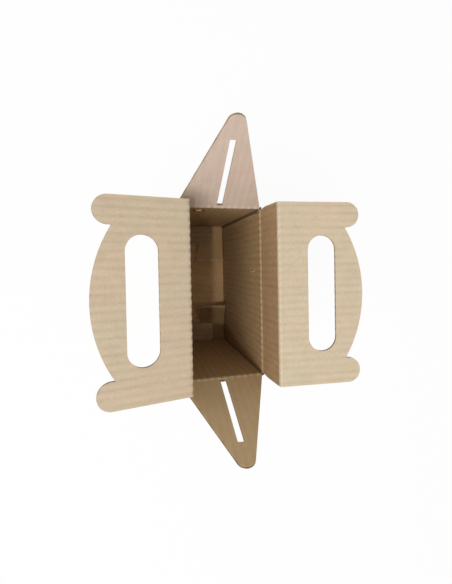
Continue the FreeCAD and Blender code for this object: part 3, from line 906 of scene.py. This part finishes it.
class BuildWear(bpy.types.Operator):
    """Builds the nick in the rear wall and the scuff on the right wall"""

    bl_idname = "carrying_box.wear"
    bl_label = "Nick and scuff"

    # Pale torn paper on the shreds, and painted shade on the pits
    liners = ("torn_liner", "torn_gap")  # in the slots OUTER and INNER
    paper = 0.0002  # thickness of a shred, and how far it starts off the wall
    blunt = 0.06  # how early on its rounded outline a shred is cut off at each end
    width_share, raggedness = 0.75, 0.5  # its mean width and how far this varies
    tears = 9  # how fast it varies along the shred
    hook_power = 8  # how late along the shred its hook begins

    def execute(self, context):
        inner_y, inner_x = HALF_LENGTH - BOARD / 2, HALF_WIDTH - BOARD / 2
        nick, span, pit = Vector((-0.0168, inner_y, 0.167)), 0.0086, 0.0022
        bm = blank()
        self.shred(bm, nick - X * (span / 2), (X, Z, -Y), length=span, width=0.006, rise=0.0011)
        # Painted shade: the pits are dark shreds standing where the nick's holes lie in shade
        for end in (-1, 1):
            start = nick + X * (end * span / 2 - pit / 2)
            for face in self.shred(bm, start, (X, Z, -Y), length=pit, width=0.008, rise=0.0013):
                face.material_index = INNER
        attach(new_piece("rear_wall_nick", bm, self.liners), "carton")
        scuff = Vector((inner_x, 0.0185, 0.143))
        bm = blank()
        self.shred(bm, scuff, (Z, Y, -X), length=0.020, width=0.0018, rise=0.0006, hook=0.003)
        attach(new_piece("right_wall_scuff", bm, self.liners), "carton")
        return {"FINISHED"}

    def shred(self, bm, start, axes, length, width, rise, hook=0.0):
        """A raised shred of liner, pointed at both ends and hooked at the far one.

        The axes are those of its length and of its width, and the wall's outward one.
        """
        along, across, outward = axes
        made = bmesh.ops.create_grid(bm, x_segments=4, y_segments=16, size=0.5)["verts"]
        for v in made:
            side, run = 2 * v.co.x, v.co.y + 0.5
            swell = math.sin(math.pi * (self.blunt + (1 - 2 * self.blunt) * run))
            spot = Vector((self.tears * run, side, length * 1000))
            ragged = self.width_share + self.raggedness * noise.noise(spot)
            v.co = (start + along * (length * run)
                    + across * (width / 2 * side * swell * ragged + hook * run ** self.hook_power)
                    + outward * (rise * swell * (1 - side ** 2) + self.paper))
        faces = list({f for v in made for f in v.link_faces})
        bm.normal_update()
        if faces[0].normal.dot(outward) < 0:
            bmesh.ops.reverse_faces(bm, faces=faces)
        for face in faces:
            face.material_index = OUTER
        shell = bmesh.ops.solidify(bm, geom=faces, thickness=self.paper)["geom"]
        return faces + [g for g in shell if isinstance(g, bmesh.types.BMFace)]


class BuildPanels(bpy.types.Operator):
    """Builds the roof and handle panels with their creases"""

    bl_idname = "carrying_box.panels"
    bl_label = "Roof and handle panels"

    def execute(self, context):
        build = context.scene.carrying_box_board
        roof_liners = ("long_wall_outside", "roof_inside")
        for side, outward in (("left", -X), ("right", X)):
            roof = Panel(f"{side}_roof_panel", f"{side}_roof_crease", outward, Y)
            handle = Panel(f"{side}_handle_panel", f"{side}_handle_crease", -Z, Y)
            handle_liners = ("long_wall_outside", f"{side}_handle_top")
            lower = roof.start_at(build.fold_reach)
            roof.end_at(handle.crease, build.sharp_reach)
            upper = handle.start_at(build.sharp_reach)
            crease_board(f"{side}_roof_fold", roof, Z, outward, (HALF_LENGTH - BOARD / 2, lower),
                         roof_liners, build.fold_reach, ridge=1.0)
            crease_board(f"{side}_handle_fold", handle, roof.rise, roof.normal, (upper, upper),
                         handle_liners, build.sharp_reach, ridge=0.2)
            roof.build(roof_liners)
            handle.build(handle_liners)
        return {"FINISHED"}


class BuildEndFlaps(bpy.types.Operator):
    """Builds the slit end flaps with their creases"""

    bl_idname = "carrying_box.end_flaps"
    bl_label = "End flaps"

    def execute(self, context):
        reach = context.scene.carrying_box_board.fold_reach
        for side, outward in (("rear", Y), ("front", -Y)):
            facing = (outward - Z).normalized()
            liners = ("end_wall_outside", f"{side}_flap_face")
            flap = Panel(f"{side}_end_flap", f"{side}_flap_crease", facing, X)
            foot = flap.start_at(reach)
            crease_board(f"{side}_flap_fold", flap, Z, outward, (HALF_WIDTH - BOARD / 2, foot),
                         liners, reach, ridge=0.6)
            flap.build(liners)
        return {"FINISHED"}


class SetStage(bpy.types.Operator):
    """Sets the floor, the light and the camera"""

    bl_idname = "carrying_box.stage"
    bl_label = "Stage"

    floor_reach = 4.0  # from the middle to each edge
    floor_drop = 0.0004  # how far the floor lies under the box

    def execute(self, context):
        stage = context.scene.carrying_box_stage
        self.floor(stage)
        self.sky(stage)
        self.lamp("key", stage.key, stage.key_size, stage.key_place, stage.aim)
        self.lamp("top", stage.top, stage.top_size, stage.top_place, stage.aim)
        self.camera(stage)
        context.scene.view_settings.view_transform = "Standard"
        return {"FINISHED"}

    def floor(self, stage):
        """A floor that is seen white, but for the dark under the box.

        There it would shine up through the narrow openings of the base.
        """
        bm = bmesh.new()
        bmesh.ops.create_grid(bm, x_segments=1, y_segments=1, size=self.floor_reach)
        bmesh.ops.translate(bm, verts=bm.verts, vec=(0, 0, -self.floor_drop))
        floor = new_object("floor", new_mesh("floor", bm))
        material, graph = new_material("floor")
        matt = graph.add("ShaderNodeBsdfDiffuse", {}, rgba(stage.floor))
        white = graph.add("ShaderNodeEmission", {}, WHITE, 1.0)
        place = graph.place()
        beyond = [graph.part(place, axis).math("ABSOLUTE").math("GREATER_THAN", half)
                  for axis, half in enumerate((HALF_WIDTH, HALF_LENGTH))]
        seen = graph.seen() * beyond[0].math("MAXIMUM", beyond[1]) * stage.white
        graph.add("ShaderNodeOutputMaterial", {},
                  graph.add("ShaderNodeMixShader", {}, seen, matt, white))
        floor.data.materials.append(material)

    @staticmethod
    def sky(stage):
        """Even light, and a backdrop that is seen white."""
        world = bpy.data.worlds.new("sky")
        bpy.context.scene.world = world
        world.use_nodes = True
        graph = Graph(world.node_tree)
        light = graph.add("ShaderNodeBackground", {}, WHITE, stage.sky)
        white = graph.add("ShaderNodeBackground", {}, WHITE, 1.0)
        graph.add("ShaderNodeOutputWorld", {},
                  graph.add("ShaderNodeMixShader", {}, graph.seen(), light, white))

    @staticmethod
    def lamp(name, power, size, place, aim):
        """A square lamp that points at the aim."""
        data = bpy.data.lights.new(name, "AREA")
        data.shape = "SQUARE"
        data.size = size
        data.energy = power
        lamp = new_object(name, data)
        lamp.location = place
        lamp.rotation_euler = (Vector(aim) - lamp.location).to_track_quat("-Z", "Y").to_euler()

    @staticmethod
    def camera(stage):
        """The scene's camera, which looks down into the box."""
        data = bpy.data.cameras.new("camera")
        data.lens = stage.lens
        data.shift_x, data.shift_y = stage.shift
        data.clip_start = 0.01
        camera = new_object("camera", data)
        camera.location = stage.camera_place
        camera.rotation_mode = "ZYX"
        camera.rotation_euler = Euler(stage.camera_tilt, "ZYX")
        bpy.context.scene.camera = camera


class CARRYING_BOX_PT_panel(bpy.types.Panel):
    """Lists the box's settings and builders"""

    bl_label = "Carrying box"
    bl_space_type = "VIEW_3D"
    bl_region_type = "UI"
    bl_category = "Carrying Box"

    def draw(self, context):
        for name, group in SETTINGS.items():
            for setting in group.__annotations__:
                self.layout.prop(getattr(context.scene, name), setting)
        for operator in OPERATORS:
            self.layout.operator(operator.bl_idname)


SETTINGS = {"carrying_box_board": BoardSettings, "carrying_box_finish": FinishSettings,
            "carrying_box_stage": StageSettings}
OPERATORS = (BuildCarton, BuildWear, BuildPanels, BuildEndFlaps, SetStage)
CLASSES = (*SETTINGS.values(), *OPERATORS, CARRYING_BOX_PT_panel)


def register():
    for cls in CLASSES:
        bpy.utils.register_class(cls)
    for name, group in SETTINGS.items():
        setattr(bpy.types.Scene, name, bpy.props.PointerProperty(type=group))


def unregister():
    for name in SETTINGS:
        delattr(bpy.types.Scene, name)
    for cls in reversed(CLASSES):
        bpy.utils.unregister_class(cls)


def main():
    register()
    bpy.ops.carrying_box.carton()
    bpy.ops.carrying_box.wear()
    bpy.ops.carrying_box.panels()
    bpy.ops.carrying_box.end_flaps()
    bpy.ops.carrying_box.stage()


if __name__ == "__main__":
    main()
